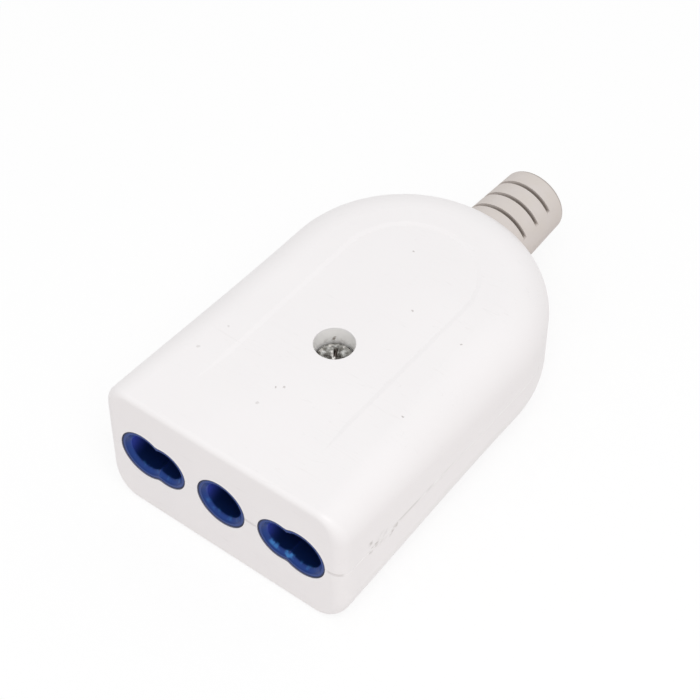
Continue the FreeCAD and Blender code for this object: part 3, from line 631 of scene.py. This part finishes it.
def shank_tree():
    """Geometry Nodes for a threaded shank that hangs from the middle of its screw head."""
    tree = bpy.data.node_groups.new("threaded_shank", "GeometryNodeTree")
    for name, kind in SHANK_INPUTS.items():
        tree.interface.new_socket(name, in_out="INPUT", socket_type=kind)
    tree.interface.new_socket("Shank", in_out="OUTPUT", socket_type="NodeSocketGeometry")
    graph = Graph(tree)
    given = tree.nodes.new("NodeGroupInput").outputs
    radius, length, pitch, depth, head, material = (Field(graph, given[name]) for name in SHANK_INPUTS)

    rings = graph.node("FunctionNodeFloatToInt", {"rounding_mode": "CEILING"}, {
        0: length / pitch * RINGS_TO_A_TURN})
    rod = graph.node("GeometryNodeMeshCylinder", {"fill_type": "NGON"}, {
        "Vertices": SHANK_SIDES, "Side Segments": rings, "Radius": radius, "Depth": length}, "Mesh")
    x, y, z = graph.axes(graph.node("GeometryNodeInputPosition", {}, {}))
    turns = z / pitch - y.math("ARCTAN2", y, x) / math.tau
    flank = abs(turns.math("FRACT", turns) * 2 - 1)
    from_tip = (z / length + 0.5) * length / (pitch * TIP_TURNS)
    narrowed = 1 - from_tip.math("MINIMUM", from_tip, 1)
    share = 1 - (flank | narrowed) * depth / radius
    place = graph.node("ShaderNodeCombineXYZ", {}, {"X": x * share, "Y": y * share, "Z": z - length / 2})
    turned = graph.node("GeometryNodeSetPosition", {}, {"Geometry": rod, "Position": place, "Offset": head})
    smooth = graph.node("GeometryNodeSetShadeSmooth", {}, {0: turned})
    real = graph.node("GeometryNodeRealizeInstances", {}, {0: smooth})
    dressed = graph.node("GeometryNodeSetMaterial", {}, {"Geometry": real, "Material": material})
    graph.feed(tree.nodes.new("NodeGroupOutput").inputs[0], dressed)
    return tree


def threaded_shank(tree, **sizes):
    """A plain mesh of one shank."""
    holder = bpy.data.objects.new("shank", bpy.data.meshes.new("shank"))
    shank = holder.modifiers.new("shank", "NODES")
    shank.node_group = tree
    for item in tree.interface.items_tree:
        if item.in_out == "INPUT":
            shank[item.identifier] = sizes[item.name.lower()]
    bpy.context.scene.collection.objects.link(holder)
    made = bpy.data.meshes.new_from_object(holder.evaluated_get(bpy.context.evaluated_depsgraph_get()))
    holder.modifiers.remove(shank)
    bpy.data.objects.remove(holder)
    return made


def thread(name, tree, pitch, depth_share, material):
    """A screw with its CAD head on a threaded shank, in place of its CAD node."""
    low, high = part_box(name)
    axis = ((low + high) / 2).to_2d()
    mesh = bmesh.new()
    mesh.from_mesh(NODES[name].data)
    bmesh.ops.remove_doubles(mesh, verts=mesh.verts, dist=SAME_POINT)
    tip = [vert for vert in mesh.verts if vert.co.z < low.z + SAME_LEVEL]
    radius = max((vert.co.to_2d() - axis).length for vert in tip)
    inside = {vert for vert in mesh.verts if (vert.co.to_2d() - axis).length < radius * SHANK_REACH}
    seat = min(vert.co.z for vert in mesh.verts if vert not in inside)
    shank = {vert for vert in inside if vert.co.z < seat + SAME_LEVEL}
    plain = [face for face in mesh.faces if shank.issuperset(face.verts)]
    bmesh.ops.delete(mesh, geom=plain, context="FACES")
    bmesh.ops.edgeloop_fill(mesh, edges=[edge for edge in mesh.edges if edge.is_boundary])
    for face in mesh.faces:
        face.smooth = True
        face.material_index = 0
    mesh.from_mesh(threaded_shank(
        tree, radius=radius, length=seat - low.z, pitch=pitch, depth=pitch * depth_share,
        head=(*axis, seat), material=material))
    bmesh.ops.recalc_face_normals(mesh, faces=mesh.faces)
    data = bpy.data.meshes.new(f"{name}_threaded")
    mesh.to_mesh(data)
    mesh.free()
    data.set_sharp_from_angle(angle=SHARP_EDGE)
    data.materials.append(material)
    piece = bpy.data.objects.new(f"{name}_threaded", data)
    bpy.context.scene.collection.objects.link(piece)
    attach(piece, "root")
    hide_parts(name)


def dress(names, material):
    """Gives CAD nodes their finish."""
    for name in names:
        NODES[name].data.materials[0] = material


def bearing(azimuth, elevation):
    """Direction to the right of straight ahead and above the horizon, from the socket outwards."""
    level = math.cos(elevation)
    return Vector((math.sin(azimuth) * level, -math.cos(azimuth) * level, math.sin(elevation)))


def set_world(scene, stage):
    """Even white light, with a white background behind the socket."""
    world = bpy.data.worlds.new("studio")
    world.use_nodes = True
    scene.world = world
    graph = Graph(world.node_tree)
    background = graph.tree.nodes["Background"]
    graph.feed(background.inputs["Color"], WHITE)
    graph.feed(background.inputs["Strength"], stage.dome)
    dome = Field(graph, background.outputs[0])
    white = graph.node("ShaderNodeBackground", {}, {"Color": WHITE})
    shown = graph.node("ShaderNodeMixShader", {}, {0: graph.seen_directly(), 1: dome, 2: white})
    graph.feed(graph.tree.nodes["World Output"].inputs["Surface"], shown)


def set_floor(scene, stage):
    """A wide floor."""
    mesh = bpy.data.meshes.new("floor")
    corners = [(x * FLOOR_HALF, y * FLOOR_HALF, 0) for x, y in ((-1, -1), (1, -1), (1, 1), (-1, 1))]
    mesh.from_pydata(corners, [], [(0, 1, 2, 3)])
    mesh.materials.append(floor_finish(stage))
    floor = bpy.data.objects.new("floor", mesh)
    scene.collection.objects.link(floor)


def set_softbox(scene, stage):
    """A square lamp above the right front corner."""
    lamp = bpy.data.lights.new("softbox", "AREA")
    lamp.energy = stage.softbox
    lamp.size = stage.softbox_size
    holder = bpy.data.objects.new("softbox", lamp)
    towards = bearing(stage.softbox_azimuth, stage.softbox_elevation)
    holder.matrix_world = (Matrix.Translation(towards * stage.softbox_away)
                           @ towards.to_track_quat("Z", "Y").to_matrix().to_4x4())
    scene.collection.objects.link(holder)


def set_camera(scene, stage):
    """The camera, above and to the right of the pin ways."""
    lens = bpy.data.cameras.new("camera")
    lens.sensor_width = SENSOR
    lens.lens = stage.lens
    lens.shift_x, lens.shift_y = stage.shift
    lens.clip_start = NEAREST
    back = bearing(stage.azimuth, stage.elevation)
    across = Vector((math.cos(stage.azimuth), math.sin(stage.azimuth), 0))
    upright = Matrix((across, back.cross(across), back)).transposed().to_4x4()
    camera = bpy.data.objects.new("camera", lens)
    camera.matrix_world = (Matrix.Translation(Vector(stage.target) + back * stage.distance)
                           @ upright @ Matrix.Rotation(stage.roll, 4, "Z"))
    scene.collection.objects.link(camera)
    scene.camera = camera


class SOCKET_OT_housing(bpy.types.Operator):
    """Finishes the two shells"""
    bl_idname = "socket.housing"
    bl_label = "Finish housing"

    def execute(self, context):
        dress(SHELLS, housing_finish(context.scene.socket_finishes))
        return {"FINISHED"}


class SOCKET_OT_insert(bpy.types.Operator):
    """Finishes the blue moulding with the pin ways"""
    bl_idname = "socket.insert"
    bl_label = "Finish insert"

    def execute(self, context):
        dress(["socket_insert"], insert_finish(context.scene.socket_finishes))
        return {"FINISHED"}


class SOCKET_OT_contacts(bpy.types.Operator):
    """Finishes the three brass contacts"""
    bl_idname = "socket.contacts"
    bl_label = "Finish contacts"

    def execute(self, context):
        dress(CONTACTS, brass_finish(context.scene.socket_finishes))
        return {"FINISHED"}


class SOCKET_OT_cord_hold(bpy.types.Operator):
    """Finishes the cord sleeve and the cord clamp"""
    bl_idname = "socket.cord_hold"
    bl_label = "Finish sleeve and clamp"

    def execute(self, context):
        colours = context.scene.socket_finishes
        dress(["cord_sleeve"], sleeve_finish(colours))
        dress(["cord_clamp"], clamp_finish(colours))
        return {"FINISHED"}


class SOCKET_OT_fasteners(bpy.types.Operator):
    """Threads the screws and finishes them with the nut and the wire clamps"""
    bl_idname = "socket.fasteners"
    bl_label = "Thread and finish fasteners"

    def execute(self, context):
        steel = steel_finish(context.scene.socket_finishes)
        dress([*WIRE_CLAMPS, "case_nut"], steel)
        threads = context.scene.socket_threads
        tree = shank_tree()
        for name in MACHINE_SCREWS:
            thread(name, tree, threads.machine_pitch, threads.depth_share, steel)
        for name in TAPPING_SCREWS:
            thread(name, tree, threads.tapping_pitch, threads.depth_share, steel)
        return {"FINISHED"}


class SOCKET_OT_stage(bpy.types.Operator):
    """Sets the floor, the light and the camera"""
    bl_idname = "socket.stage"
    bl_label = "Set stage"

    def execute(self, context):
        stage = context.scene.socket_stage
        set_world(context.scene, stage)
        set_floor(context.scene, stage)
        set_softbox(context.scene, stage)
        set_camera(context.scene, stage)
        context.scene.view_settings.view_transform = "Standard"
        return {"FINISHED"}


class VIEW3D_PT_socket(bpy.types.Panel):
    """Lists the sizes, colours and steps that finish the socket"""
    bl_idname = "VIEW3D_PT_socket"
    bl_label = "In-line mains socket"
    bl_space_type = "VIEW_3D"
    bl_region_type = "UI"
    bl_category = "Socket"

    def draw(self, context):
        for group in GROUPS:
            owner = getattr(context.scene, group)
            for name in owner.bl_rna.properties.keys():
                if name not in ("rna_type", "name"):
                    self.layout.prop(owner, name)
        for operator in OPERATORS:
            self.layout.operator(operator.bl_idname)


GROUPS = {
    "socket_finishes": SocketFinishes,
    "socket_threads": SocketThreads,
    "socket_stage": SocketStage,
}
OPERATORS = (
    SOCKET_OT_housing,
    SOCKET_OT_insert,
    SOCKET_OT_contacts,
    SOCKET_OT_cord_hold,
    SOCKET_OT_fasteners,
    SOCKET_OT_stage,
)
CLASSES = (*GROUPS.values(), *OPERATORS, VIEW3D_PT_socket)


def register():
    for item in CLASSES:
        bpy.utils.register_class(item)
    for name, group in GROUPS.items():
        setattr(bpy.types.Scene, name, PointerProperty(type=group))


def unregister():
    for name in GROUPS:
        delattr(bpy.types.Scene, name)
    for item in reversed(CLASSES):
        bpy.utils.unregister_class(item)


def main():
    register()
    for operator in OPERATORS:
        family, name = operator.bl_idname.split(".")
        getattr(getattr(bpy.ops, family), name)()


if __name__ == "__main__":
    main()
